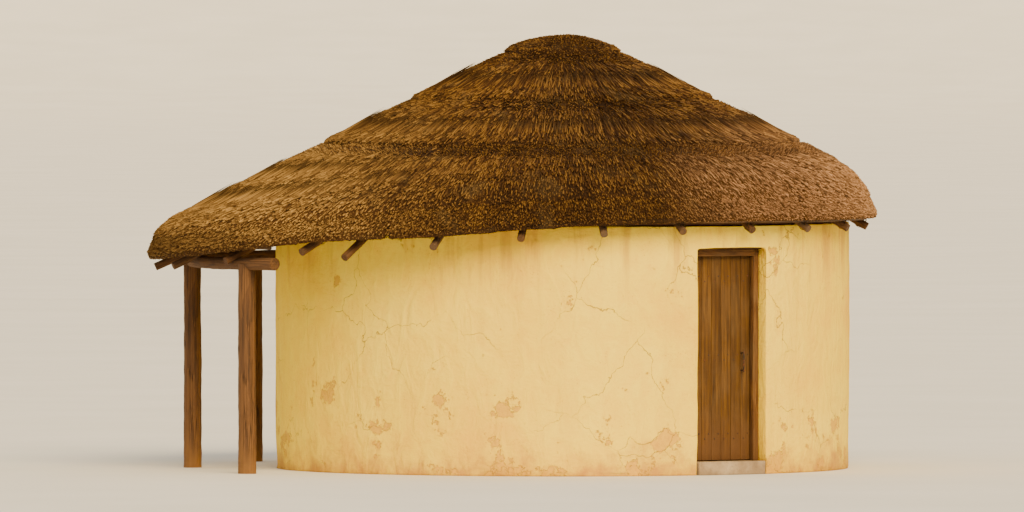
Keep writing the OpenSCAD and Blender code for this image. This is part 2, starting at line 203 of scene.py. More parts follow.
def noiseValue(tree, place, scale, detail=4.0, rough=0.55, distortion=0.0):
    inputs = {"Vector": place, "Scale": scale, "Detail": detail, "Roughness": rough,
              "Distortion": distortion}
    return put(tree, "ShaderNodeTexNoise", inputs).outputs[0]


def calculate(tree, operation, *values):
    return put(tree, "ShaderNodeMath", dict(enumerate(values)), operation=operation).outputs[0]


def product(tree, first, second):
    return calculate(tree, "MULTIPLY", first, second)


def productPlus(tree, first, second, third):
    return calculate(tree, "MULTIPLY_ADD", first, second, third)


def vectorSum(tree, operation, *values):
    return put(tree, "ShaderNodeVectorMath", dict(enumerate(values)), operation=operation).outputs[0]


def scaledVector(tree, vector, scale):
    return put(tree, "ShaderNodeVectorMath", {0: vector, "Scale": scale}, operation="SCALE").outputs[0]


def remap(tree, value, low, high, toLow=0.0, toHigh=1.0):
    inputs = {"Value": value, "From Min": low, "From Max": high, "To Min": toLow, "To Max": toHigh}
    return put(tree, "ShaderNodeMapRange", inputs, interpolation_type="SMOOTHSTEP").outputs[0]


def blendColour(tree, factor, first, second):
    first, second = (tone(colour) if isinstance(colour, tuple) else colour for colour in (first, second))
    return put(tree, "ShaderNodeMix", {0: factor, 6: first, 7: second}, data_type="RGBA").outputs[2]


def coated(tree, coat, *layers):
    # lays colours over a coat one after another, each as how much of it, and the colour
    for share, colour in layers:
        coat = blendColour(tree, share, coat, colour)
    return coat


def tone(colour):
    # a colour as written in a paint program, made linear for the shader
    linear = [(c / 255 / 12.92) if c < 11 else ((c / 255 + 0.055) / 1.055) ** 2.4 for c in colour[:3]]
    return (*linear, 1.0)


def colourRamp(tree, factor, stops):
    node = put(tree, "ShaderNodeValToRGB", {"Fac": factor})
    band = node.color_ramp
    while len(band.elements) < len(stops):
        band.elements.new(0.5)
    for element, (position, colour) in zip(band.elements, stops):
        element.position = position
        element.color = tone(colour)
    return node.outputs[0]


def bumped(tree, height, distance, strength=1.0, below=None):
    inputs = {"Height": height, "Distance": distance, "Strength": strength}
    if below is not None:
        inputs["Normal"] = below
    return put(tree, "ShaderNodeBump", inputs).outputs[0]


def newMaterial(name, roughness=0.85, specular=0.3, metallic=0.0):
    material = bpy.data.materials.new(name)
    material.use_nodes = True
    tree = material.node_tree
    tree.nodes.clear()
    shader = put(tree, "ShaderNodeBsdfPrincipled", {
        "Roughness": roughness, "Specular IOR Level": specular, "Metallic": metallic})
    put(tree, "ShaderNodeOutputMaterial", {0: shader.outputs[0]})
    return material, tree, shader


def finish(tree, shader, colour, normal=None, roughness=None):
    for key, value in (("Base Color", colour), ("Normal", normal), ("Roughness", roughness)):
        if value is not None:
            tree.links.new(value, shader.inputs[key])


# mud plaster on the wall

plaster = {
    "cream": (249, 213, 46),
    "creamPale": (252, 222, 64),
    "ochre": (240, 188, 46),
    "mud": (190, 134, 60),
    "splash": (186, 130, 62),
    "crack": (132, 90, 42),
    "splashHeight": 0.30,
    "eaveStain": 0.30,
    "flaking": 0.622,  # lower for more of it
}


def plasterMaterial():
    material, tree, shader = newMaterial("wallPlaster", roughness=0.92, specular=0.15)
    place = objectPlace(tree)
    axes = axesOf(tree, place)
    broad = noiseValue(tree, place, 0.9, detail=5, rough=0.6)
    middle = noiseValue(tree, place, 4.5, detail=6, rough=0.62, distortion=0.3)
    fine = noiseValue(tree, place, 34.0, detail=5, rough=0.6)
    hands = noiseValue(tree, stretched(tree, place, (5.0, 5.0, 2.4), (0.3, 0.2, 0.4)), 1.0, detail=3,
                       distortion=1.8)
    strokes = noiseValue(tree, stretched(tree, place, (9.0, 9.0, 30.0), (0.5, 0.3, 0.0)), 1.0, detail=3,
                         distortion=0.8)
    grit = noiseValue(tree, place, 150.0, detail=3, rough=0.7)
    pitted = put(tree, "ShaderNodeTexVoronoi", {"Vector": place, "Scale": 34.0}).outputs["Distance"]
    pitted = product(tree, remap(tree, pitted, 0.08, 0.22, 1.0, 0.0), remap(tree, middle, 0.50, 0.62))

    coat = colourRamp(tree, broad, [
        (0.30, plaster["ochre"]), (0.48, plaster["cream"]), (0.68, plaster["creamPale"])])
    coat = coated(
        tree, coat,
        (remap(tree, middle, 0.50, 0.76, 0.0, 0.42), plaster["ochre"]),
        (remap(tree, fine, 0.56, 0.76, 0.0, 0.20), plaster["mud"]),
        (remap(tree, hands, 0.42, 0.60, 0.20, 0.0), plaster["ochre"]),
        (product(tree, pitted, 0.45), plaster["mud"]))

    # rain has washed the coat off in streaks under the eave
    streakPlace = stretched(tree, place, (7.0, 7.0, 0.7))
    streak = remap(tree, noiseValue(tree, streakPlace, 1.0, detail=4, rough=0.6), 0.50, 0.70)
    nearEave = remap(tree, axes[2], wallTop - 3 * plaster["eaveStain"], wallTop)
    coat = blendColour(tree, product(tree, streak, remap(tree, nearEave, 0, 1, 0.10, 0.55)),
                       coat, plaster["mud"])

    # earth splashed up from the ground, ragged at its upper edge
    ragged = productPlus(tree, middle, -0.75, axes[2])
    ragged = productPlus(tree, broad, -0.35, ragged)
    splash = remap(tree, ragged, -0.62, plaster["splashHeight"] - 0.52, 1.0, 0.0)
    coat = blendColour(tree, product(tree, splash, 0.86), coat, plaster["splash"])

    # patches where the top coat has come away
    flakes = product(tree, noiseValue(tree, place, 1.9, detail=7, rough=0.70),
                     remap(tree, axes[2], 0.1, 1.3, 1.13, 0.97))
    worn = remap(tree, flakes, plaster["flaking"], plaster["flaking"] + 0.014)
    rim = remap(tree, flakes, plaster["flaking"] - 0.030, plaster["flaking"])
    bareMud = blendColour(tree, fine, plaster["mud"], plaster["ochre"])
    coat = coated(tree, coat, (product(tree, rim, 0.22), plaster["ochre"]),
                  (product(tree, worn, 0.8), bareMud))

    # hairline cracks
    sway = put(tree, "ShaderNodeTexNoise", {"Vector": place, "Scale": 3.4, "Detail": 6.0}).outputs[1]
    bent = vectorSum(tree, "ADD", place, scaledVector(tree, sway, 0.38))
    cells = put(tree, "ShaderNodeTexVoronoi", {"Vector": bent, "Scale": 1.25},
                feature="DISTANCE_TO_EDGE").outputs[0]
    crackWidth = remap(tree, middle, 0.35, 0.65, 0.0015, 0.0065)
    cracks = remap(tree, cells, product(tree, crackWidth, 0.3), crackWidth, 1.0, 0.0)
    cracks = product(tree, cracks, remap(tree, broad, 0.47, 0.60))
    coat = blendColour(tree, product(tree, cracks, 0.62), coat, plaster["crack"])

    relief = hands
    for pattern, share in ((worn, -0.45), (cracks, -0.25), (strokes, 0.22), (pitted, -0.10)):
        relief = productPlus(tree, pattern, share, relief)
    normal = None
    for pattern, depth, strength in ((relief, 0.022, 0.9), (fine, 0.004, 0.8), (grit, 0.0012, 0.8)):
        normal = bumped(tree, pattern, depth, strength, normal)
    finish(tree, shader, coat, normal)
    return material


wall = {
    "cell": 0.065,  # size of one face
    "acrossHole": 18,  # faces across the doorway
    "overHole": 5,  # rows of faces over the doorway
    "through": 4,  # faces through the wall
    "corner": 0.018,  # rounding of the corners
    "swell": 0.016,  # how far the surface wanders
    "swellSize": 0.85,
    "lumps": 0.005,
    "lumpSize": 0.16,
    "foot": 0.012,  # how much the foot is worn away
    "footHeight": 0.35,
    "footSize": 0.3,
}


def wallMesh():
    # one ring with the doorway left open, as angles and heights mapped on both faces
    aroundHole = wall["acrossHole"]
    aroundRest = int(2 * math.pi * wallOuter / wall["cell"])
    columns = aroundHole + aroundRest
    up = int(holeTop / wall["cell"])
    above = wall["overHole"]
    through = wall["through"]
    heights = [holeTop * i / up for i in range(up + 1)]
    heights += [holeTop + (wallTop - holeTop) * i / above for i in range(1, above + 1)]

    def angleAt(column, radius):
        edge = math.asin(holeHalf / radius)
        if column <= aroundHole:
            return -edge + 2 * edge * column / aroundHole
        return edge + (2 * math.pi - 2 * edge) * (column - aroundHole) / aroundRest

    def corner(column, row, layer):
        radius = wallOuter + (wallInner - wallOuter) * layer / through
        angle = angleAt(column, radius) - math.pi / 2
        return Vector((radius * math.cos(angle), radius * math.sin(angle), heights[row]))

    work = bmesh.new()
    made = {}

    def vertex(column, row, layer):
        key = (column % columns, row, layer)
        if key not in made:
            made[key] = work.verts.new(corner(*key))
        return made[key]

    def solid(column, row):
        return 0 <= row < len(heights) - 1 and not (column % columns < aroundHole and row < up)

    def quad(*keys):
        work.faces.new([vertex(*key) for key in keys])

    for row in range(len(heights) - 1):
        for column in range(columns):
            if not solid(column, row):
                continue
            c, d, r, s = column, column + 1, row, row + 1
            quad((c, r, 0), (d, r, 0), (d, s, 0), (c, s, 0))
            quad((c, s, through), (d, s, through), (d, r, through), (c, r, through))
            for k in range(through):
                if not solid(column, row - 1):
                    quad((c, r, k + 1), (d, r, k + 1), (d, r, k), (c, r, k))
                if not solid(column, row + 1):
                    quad((c, s, k), (d, s, k), (d, s, k + 1), (c, s, k + 1))
                if not solid(column - 1, row):
                    quad((c, s, k), (c, s, k + 1), (c, r, k + 1), (c, r, k))
                if not solid(column + 1, row):
                    quad((d, r, k), (d, r, k + 1), (d, s, k + 1), (d, s, k))

    bmesh.ops.recalc_face_normals(work, faces=work.faces)
    rounded(work, 0.9, wall["corner"])
    work.normal_update()

    moves = {}
    for v in work.verts:
        x, y, z = v.co
        if z < 0.001:
            continue
        swell = noise.noise(v.co / wall["swellSize"]) * wall["swell"]
        lumps = noise.noise(v.co / wall["lumpSize"] + Vector((7, 3, 1))) * wall["lumps"]
        inset = wall["swell"] * 0.6
        worn = 0.0
        if math.hypot(x, y) > (wallOuter + wallInner) / 2:
            ragged = 0.6 + noise.noise(v.co / wall["footSize"])
            worn = wall["foot"] * max(0.0, 1 - z / wall["footHeight"]) * ragged
        moves[v] = v.normal * (swell + lumps - inset - max(worn, 0.0))
    for v, move in moves.items():
        v.co += move
        v.co.z = max(v.co.z, 0.0)
    bmesh.ops.transform(work, matrix=fromDoor, verts=work.verts)
    mesh = asMesh(work, "plasteredWall")
    mesh.shade_smooth()
    return mesh


newPiece("plasteredWall", wallMesh(), "hut", plasterMaterial(), wallNames)
print("wall plastered")


# geometry nodes helpers

def newGrowth(name, **inputs):
    # an empty geometry tree with named inputs and a material; returns the tree and its group sockets
    kinds = {float: "NodeSocketFloat", int: "NodeSocketInt", bpy.types.Material: "NodeSocketMaterial"}
    tree = bpy.data.node_groups.new(name, "GeometryNodeTree")
    tree.interface.new_socket("Geometry", in_out="INPUT", socket_type="NodeSocketGeometry")
    for label, value in dict(inputs, material=bpy.data.materials[0]).items():
        socket = tree.interface.new_socket(label, in_out="INPUT", socket_type=kinds[type(value)])
        socket.default_value = value
    tree.interface.new_socket("Geometry", in_out="OUTPUT", socket_type="NodeSocketGeometry")
    return tree, put(tree, "NodeGroupInput").outputs, put(tree, "NodeGroupOutput").inputs


def evaluatedMesh(piece):
    view = bpy.context.evaluated_depsgraph_get()
    return bpy.data.meshes.new_from_object(piece.evaluated_get(view), preserve_all_data_layers=True,
                                           depsgraph=view)


def grown(piece, tree, **values):
    # runs a geometry tree on a piece and keeps the result as its plain mesh
    modifier = piece.modifiers.new(tree.name, "NODES")
    modifier.node_group = tree
    for item in tree.interface.items_tree:
        if item.in_out == "INPUT" and item.name in values:
            modifier[item.identifier] = values[item.name]
    mesh = evaluatedMesh(piece)
    name = piece.name
    old = piece.data
    bpy.data.objects.remove(piece)
    bpy.data.meshes.remove(old)
    mesh.name = name
    return mesh


def closeGrowth(tree, geometry, given, result, smooth=True):
    # what every growth tree ends in
    geometry = put(tree, "GeometryNodeRealizeInstances", {"Geometry": geometry}).outputs[0]
    if smooth:
        geometry = put(tree, "GeometryNodeSetShadeSmooth", {"Geometry": geometry}).outputs[0]
    inputs = {"Geometry": geometry, "Material": given["material"]}
    tree.links.new(put(tree, "GeometryNodeSetMaterial", inputs).outputs[0], result["Geometry"])
    return tree


def storedFloat(mesh, name, values):
    mesh.attributes.new(name, "FLOAT", "POINT").data.foreach_set("value", np.asarray(values, np.float32))


def storedVector(mesh, name, values):
    data = np.asarray(values, np.float32).ravel()
    mesh.attributes.new(name, "FLOAT_VECTOR", "POINT").data.foreach_set("vector", data)


def attributeIn(tree, name, kind="FLOAT"):
    return put(tree, "GeometryNodeInputNamedAttribute", {"Name": name}, data_type=kind).outputs[0]


def vectorIn(tree, name):
    return attributeIn(tree, name, "FLOAT_VECTOR")


def storeIn(tree, geometry, name, value, kind="FLOAT", domain="POINT"):
    inputs = {"Geometry": geometry, "Name": name, "Value": value}
    return put(tree, "GeometryNodeStoreNamedAttribute", inputs, data_type=kind, domain=domain).outputs[0]


def turnedTo(tree, heading, axis):
    return put(tree, "FunctionNodeAlignRotationToVector", {"Vector": heading}, axis=axis).outputs[0]


def standOn(tree, points, shape, turn, size):
    inputs = {"Points": points, "Instance": shape, "Rotation": turn, "Scale": size}
    return put(tree, "GeometryNodeInstanceOnPoints", inputs).outputs[0]


def randomVector(tree, seed):
    inputs = {0: (-1.0, -1.0, -1.0), 1: (1.0, 1.0, 1.0), 8: seed}
    return put(tree, "FunctionNodeRandomValue", inputs, data_type="FLOAT_VECTOR").outputs[0]


def randomFloat(tree, low, high, seed, further=0.0):
    seed = calculate(tree, "ADD", seed, further)
    return put(tree, "FunctionNodeRandomValue", {2: low, 3: high, 8: seed}, data_type="FLOAT").outputs[1]


# thatch

thatch = {
    "cell": 0.04,
    "setIn": 0.030,  # the bed lies this far under the cut stems
    "setInBelow": 0.012,
    "setInCut": 0.020,  # further in at the cut edge
    "leastSetIn": 0.006,
    "lumps": 0.014,
    "lumpsBelow": 0.004,
    "lumpSize": 0.42,
    "smallLumpSize": 0.13,
    "slope": 0.47,  # of the roof, in radians
    "facingUp": 0.5,  # the least upward part of a normal on the roof's top
    "facingDown": 0.79,
    "facingOut": 0.3,
    "stemRadius": 0.0053,
    "slimmest": 0.65,  # smallest stem against the usual one
    "stoutest": 1.35,
    "sideways": 0.7,  # how much of a stem's stray off the surface is taken away
    "looseBelow": 0.15,
    "tipReach": 0.26,  # how far up the slope a stem's tip lies
    "stemsPerArea": 2900.0,
    "cutEdge": 2.2,  # stems on the cut edge, against those on the slope
    "stepEdge": 1.5,  # and on the step where a course ends
    "stepHeight": 0.08,
    "below": 0.14,  # and on the underside
    "belowFringe": 0.7,
    "belowInside": 0.04,
    "fringe": 0.15,  # width of the strip under the eave where butts show
    "shade": (36, 22, 9),
    "umber": (58, 37, 17),
    "brown": (80, 53, 24),
    "straw": (128, 94, 46),
    "grey": (88, 72, 48),
    # painted sunlight: the rosy and pale straw go on the parts of the roof that sun fell on
    "sunlitRose": (184, 140, 104),
    "pale": (192, 154, 94),
}

thatchPieces = {  # piece: node, seed, how densely the stems stand, their length, lean and lift
    "thatchCrown": ("thatch_crown", 11, 1.6, 0.15, 0.42, 0.018),
    "thatchUpper": ("thatch_upper", 12, 1.1, 0.34, 0.11, 0.030),
    "thatchMiddle": ("thatch_middle", 13, 0.95, 0.34, 0.11, 0.030),
    "thatchEaveFront": ("thatch_eave_front", 14, 1.1, 0.34, 0.11, 0.030),
    "thatchEaveRight": ("thatch_eave_right", 15, 1.1, 0.34, 0.11, 0.030),
    "thatchEaveBack": ("thatch_eave_back", 16, 1.0, 0.34, 0.11, 0.030),
    "thatchPorch": ("thatch_porch", 17, 0.74, 0.34, 0.11, 0.030),
}


def thatchMaterial():
    material, tree, shader = newMaterial("grassThatch", roughness=0.9, specular=0.12)
    place = objectPlace(tree)
    tint = storedOn(tree, "tint")
    along = storedOn(tree, "along")
    axes = axesOf(tree, place)
    flat = fromAxes(tree, axes[0], axes[1])
    reach = put(tree, "ShaderNodeVectorMath", {0: flat}, operation="LENGTH").outputs[1]
    heading = put(tree, "ShaderNodeVectorMath", {0: flat}, operation="NORMALIZE").outputs[0]

    # streaks that run down the slope, alike at every height
    headingAxes = axesOf(tree, heading)
    runPlace = fromAxes(tree, headingAxes[0], headingAxes[1], product(tree, reach, 0.05))
    streaks = noiseValue(tree, runPlace, 11.0, detail=6, rough=0.66)
    broad = noiseValue(tree, place, 0.75, detail=4, rough=0.6)
    patch = noiseValue(tree, place, 3.2, detail=5, rough=0.6)

    # painted shade: the bed under the stems carries no tint, so it takes the darkest colours, as deep thatch
    # between stems in shade
    mixed = productPlus(tree, tint, 0.62, product(tree, streaks, 0.48))
    coat = colourRamp(tree, mixed, [
        (0.20, thatch["shade"]), (0.38, thatch["umber"]), (0.58, thatch["brown"]), (0.86, thatch["straw"])])
    coat = blendColour(tree, remap(tree, patch, 0.50, 0.72, 0.0, 0.45), coat, thatch["grey"])

    # painted sunlight: paler straw towards the porch, and a rosy patch towards the right, lighter where sun
    # fell on the roof
    sunlitPorchSide = remap(tree, productPlus(tree, broad, 1.6, axes[0]), -2.2, 0.1, 0.72, 0.0)
    sunlitPaler = blendColour(tree, tint, thatch["brown"], thatch["pale"])
    coat = blendColour(tree, sunlitPorchSide, coat, sunlitPaler)
    sunlitRightSide = remap(tree, productPlus(tree, broad, -1.5, axes[0]), 0.0, 1.1, 0.0, 0.78)
    lowDown = remap(tree, axes[2], 2.7, 3.6, 1.0, 0.0)
    sunlitRosy = blendColour(tree, tint, thatch["brown"], thatch["sunlitRose"])
    coat = blendColour(tree, product(tree, sunlitRightSide, lowDown), coat, sunlitRosy)

    # painted shade: the low tip over the porch is darkened towards umber
    paintedTipShade = remap(tree, productPlus(tree, broad, 0.3, axes[2]), 2.32, 2.56, 0.55, 0.0)
    coat = blendColour(tree, paintedTipShade, coat, thatch["umber"])

    # painted shade: the stems' tips lie deep in the roof, and are darkened towards the shade colour
    coat = blendColour(tree, remap(tree, along, 0.1, 0.75, 0.0, 0.8), coat, thatch["shade"])
    fine = noiseValue(tree, runPlace, 90.0, detail=3)
    finish(tree, shader, coat, bumped(tree, fine, 0.01, 0.6))
    return material


def stemTree():
    # grows cut stems all over a bed, each one leaning into the roof behind its butt
    tree, given, result = newGrowth("thatchStems", stemsPerArea=1000.0, stemLength=0.3, stemRadius=0.005,
                                    lift=0.03, lean=0.11, stray=0.12, seed=1)
    cover = attributeIn(tree, "cover")
    density = product(tree, cover, given["stemsPerArea"])
    spread = put(tree, "GeometryNodeDistributePointsOnFaces", {
        "Mesh": given["Geometry"], "Density": density, "Seed": given["seed"]}, distribute_method="RANDOM")

    # a stem is a thin three-sided spike: butt below, point deep in the roof
    spike = put(tree, "GeometryNodeMeshCone", {
        "Vertices": 3, "Radius Top": 0.0, "Radius Bottom": given["stemRadius"],
        "Depth": given["stemLength"]}, fill_type="NGON").outputs[0]
    height = axesOf(tree, put(tree, "GeometryNodeInputPosition").outputs[0])[2]
    spike = storeIn(tree, spike, "along", calculate(tree, "DIVIDE", height, given["stemLength"]))

    flow = vectorIn(tree, "downhill")
    outward = spread.outputs["Normal"]
    stray = randomVector(tree, given["seed"])
    upright = put(tree, "ShaderNodeVectorMath", {0: stray, 1: outward}, operation="DOT_PRODUCT").outputs[1]
    stray = vectorSum(tree, "SUBTRACT", stray, scaledVector(
        tree, outward, product(tree, upright, thatch["sideways"])))
    inward = vectorSum(tree, "ADD", scaledVector(tree, flow, -1.0), scaledVector(
        tree, outward, product(tree, given["lean"], -1.0)))
    loose = attributeIn(tree, "loose")
    inward = vectorSum(tree, "ADD", inward, scaledVector(
        tree, stray, product(tree, loose, given["stray"])))
    turn = turnedTo(tree, inward, "Z")
    lifted = product(tree, product(tree, given["lift"], loose),
                     randomFloat(tree, 0.0, 1.0, given["seed"], 1.0))
    points = put(tree, "GeometryNodeSetPosition", {
        "Geometry": spread.outputs["Points"], "Offset": scaledVector(tree, outward, lifted)}).outputs[0]
    size = randomFloat(tree, thatch["slimmest"], thatch["stoutest"], given["seed"], 2.0)
    stems = standOn(tree, points, spike, turn, size)
    tint = randomFloat(tree, 0.05, 1.0, given["seed"], 3.0)
    stems = storeIn(tree, stems, "tint", tint, domain="INSTANCE")
    both = put(tree, "GeometryNodeJoinGeometry", {"Geometry": given["Geometry"]})
    tree.links.new(stems, both.inputs["Geometry"])
    return closeGrowth(tree, both.outputs[0], given, result, smooth=False)


def nearestOf(points, chosen, places):
    # the chosen point nearest to each place, as its place, number and distance
    tree = kdtree.KDTree(int(chosen.sum()))
    for number in np.flatnonzero(chosen):
        tree.insert(points[number], int(number))
    tree.balance()
    return [tree.find(place) for place in places]


def distancesTo(points, chosen):
    return np.array([found[2] for found in nearestOf(points, chosen, points)])


def laidAlong(heading, normals):
    # headings turned flat onto the surface
    lying = heading - normals * (heading * normals).sum(axis=1)[:, None]
    return lying / np.maximum(np.linalg.norm(lying, axis=1), 0.05)[:, None]


def thatchBed(name, node):
    # the bed that the stems stand on: the node's own shape, softened, lumpy and set in
    mesh = asMesh(mergedCopy(node), name)
    bed = looseObject(name, mesh)
    soften = bed.modifiers.new("soften", "REMESH")
    soften.mode = "VOXEL"
    soften.voxel_size = thatch["cell"]
    soft = evaluatedMesh(bed)
    bed.modifiers.remove(soften)
    bed.data = soft
    bpy.data.meshes.remove(mesh)

    count = len(soft.vertices)
    points = np.empty(count * 3)
    normals = np.empty(count * 3)
    soft.vertices.foreach_get("co", points)
    soft.vertex_normals.foreach_get("vector", normals)
    points, normals = points.reshape(-1, 3), normals.reshape(-1, 3)
    reach = radii(points)
    radial = np.column_stack([points[:, 0], points[:, 1], np.zeros(count)]) / np.maximum(reach, 0.02)[:, None]
    steep = np.abs(normals[:, 2])
    outwards = (normals * radial).sum(axis=1)
    top = normals[:, 2] > thatch["facingUp"]
    below = normals[:, 2] < -thatch["facingDown"]
    out = outwards > thatch["facingOut"]
    cut = ~top & ~below & out & (reach > wallOuter)
    fromTop = distancesTo(points, top)
    step = ~top & ~below & ~cut & out & (fromTop < thatch["stepHeight"])
    joint = ~top & ~below & ~cut & ~step

    lumps = np.array([noise.noise(Vector(p) / thatch["lumpSize"] + Vector((3, 1, 2))) for p in points])
    smallLumps = np.array([noise.noise(Vector(p) / thatch["smallLumpSize"]) for p in points])
    depth = -thatch["setIn"] + thatch["lumps"] * (0.75 * lumps + 0.35 * smallLumps)
    depth = np.where(cut, depth - thatch["setInCut"], depth)
    depth = np.where(below, -thatch["setInBelow"] + thatch["lumpsBelow"] * lumps, depth)
    # the faces where two pieces meet stay where they are
    atJoint = np.where(out & (reach > wallOuter), 1.0, np.clip((steep - 0.08) / 0.3, 0, 1))
    depth = np.minimum(depth, -thatch["leastSetIn"]) * atJoint
    points = points + normals * depth[:, None]
    soft.vertices.foreach_set("co", points.ravel())
    soft.update()
    soft.shade_smooth()

    # which way is downhill at each corner, and how thickly the stems stand there
    falling = radial * math.cos(thatch["slope"]) - np.array([0, 0, 1]) * math.sin(thatch["slope"])
    lying = laidAlong(falling, normals)
    tips = [found[1] for found in nearestOf(points, top, points - lying * thatch["tipReach"])]
    behind = laidAlong(falling, normals[tips])  # as the roof lies where the stem's tip is
    standing = np.clip((0.70 - normals[:, 2]) / 0.3, 0, 1)[:, None]  # 1 on a step or a cut edge
    flow = behind * (1 - standing) + falling * standing
    flow /= np.maximum(np.linalg.norm(flow, axis=1), 0.05)[:, None]
    fromEdge = distancesTo(points, cut) if cut.any() else np.ones(count)
    cover = np.select(
        [joint, step, cut, below & (fromEdge < thatch["fringe"]), below & (reach > wallInner), below],
        [0.0] + [thatch[key] for key in ("stepEdge", "cutEdge", "belowFringe", "below", "belowInside")], 1.0)
    storedVector(soft, "downhill", flow)
    storedFloat(soft, "cover", cover)
    storedFloat(soft, "loose", np.where(below, thatch["looseBelow"], 1.0))
    return bed


def makeThatch():
    material = thatchMaterial()
    tree = stemTree()
    for name, (node, seed, share, length, lean, lift) in thatchPieces.items():
        mesh = grown(thatchBed(name, node), tree, stemsPerArea=thatch["stemsPerArea"] * share,
                     stemLength=length, stemRadius=thatch["stemRadius"], lean=lean, lift=lift,
                     seed=seed, material=material)
        newPiece(name, mesh, "hut", material, [node])
        print("  ", name, len(mesh.polygons), "faces")


makeThatch()
print("roof thatched")


# poles cut from young trees

pole = {
    "step": 0.07,  # from one ring of the mesh to the next
    "sides": 12,
    "crook": 0.011,
    "taper": 0.10,
    "swell": 0.05,
    "bark": (80, 50, 26),
    "barkPale": (112, 77, 44),
    "barkDark": (44, 28, 15),
    "bare": (126, 86, 46),
    "crack": (28, 17, 10),
    "soil": (128, 90, 48),
    "silver": (122, 108, 92),
    "grey": (120, 110, 98),
    "rafterRadius": 0.039,
    "postGirth": 1.07,  # the posts against their solids
    "postFoot": 0.012,  # how far a post's line starts under the ground
    "endSlice": 0.012,
}
postPole = dict(pole, crook=0.006, step=0.05, sides=20, taper=0.05)
beamPole = dict(pole, sides=16, taper=0.04)
batten = {
    "step": 0.06,
    "sides": 8,
    "crook": 0.006,
    "taper": 0.0,
    "swell": 0.10,
    "radius": 0.018,
    "girth": 0.97,  # the battens against their solids
}

# piece: node
rafterNames = {"longRafters": "main_rafters", "shortRafters": "jack_rafters", "porchRafters": "porch_rafters"}
postNames = {
    "postFront": "porch_post_front", "postMiddle": "porch_post_middle", "postBack": "porch_post_back"}
battenNames = {
    "battensUpper": "battens_upper", "battensMiddle": "battens_middle", "battensLower": "battens_lower",
    "battensEave": "battens_eave", "porchBattens": "porch_battens"}


def poleMaterial(name, grey=0.0):
    material, tree, shader = newMaterial(name, roughness=0.8, specular=0.25)
    ring = storedOn(tree, "ring", "Vector")
    along = storedOn(tree, "along")
    seed = storedOn(tree, "tint")
    ringAxes = axesOf(tree, ring)
    # the pattern runs along the pole: round it in x and y, down it in z
    length = productPlus(tree, seed, 31.0, along)
    place = fromAxes(tree, ringAxes[0], ringAxes[1], length)
    fibres = noiseValue(tree, stretched(tree, place, (4.2, 4.2, 1.6)), 1.0, detail=7, rough=0.68,
                        distortion=0.4)
    patches = noiseValue(tree, stretched(tree, place, (0.9, 0.9, 2.2)), 1.0, detail=5, rough=0.6)
    splitPlace = stretched(tree, place, (2.4, 2.4, 0.55))
    splits = put(tree, "ShaderNodeTexVoronoi", {"Vector": splitPlace, "Scale": 1.5},
                 feature="DISTANCE_TO_EDGE").outputs[0]
    splits = remap(tree, splits, 0.005, 0.035, 1.0, 0.0)
    splits = product(tree, splits, remap(tree, patches, 0.42, 0.56))

    coat = colourRamp(tree, fibres, [
        (0.32, pole["barkDark"]), (0.50, pole["bark"]), (0.70, pole["barkPale"])])
    bare = remap(tree, patches, 0.50, 0.56)
    height = axesOf(tree, objectPlace(tree))[2]
    soil = remap(tree, productPlus(tree, patches, -0.4, height), -0.22, 0.18, 0.8, 0.0)
    coat = coated(
        tree, coat,
        (product(tree, bare, 0.75), blendColour(tree, fibres, pole["bark"], pole["bare"])),
        (remap(tree, seed, 0.0, 1.0, 0.05, 0.35), pole["silver"]),
        (grey, pole["grey"]),
        (product(tree, splits, 0.85), pole["crack"]),
        (soil, pole["soil"]))
    relief = productPlus(tree, splits, -1.1, fibres)
    relief = productPlus(tree, bare, -0.5, relief)
    finish(tree, shader, coat, bumped(tree, relief, 0.006, 0.9))
    return material


def circle(tree, corners, radius):
    inputs = {"Resolution": corners, "Radius": radius}
    return put(tree, "GeometryNodeCurvePrimitiveCircle", inputs).outputs[0]


def noiseEach(tree, place, shift, scale, detail):
    # noise that differs from pole to pole, as a value and as a vector
    inputs = {"Vector": place, "W": shift, "Scale": scale, "Detail": detail}
    return put(tree, "ShaderNodeTexNoise", inputs, noise_dimensions="4D").outputs


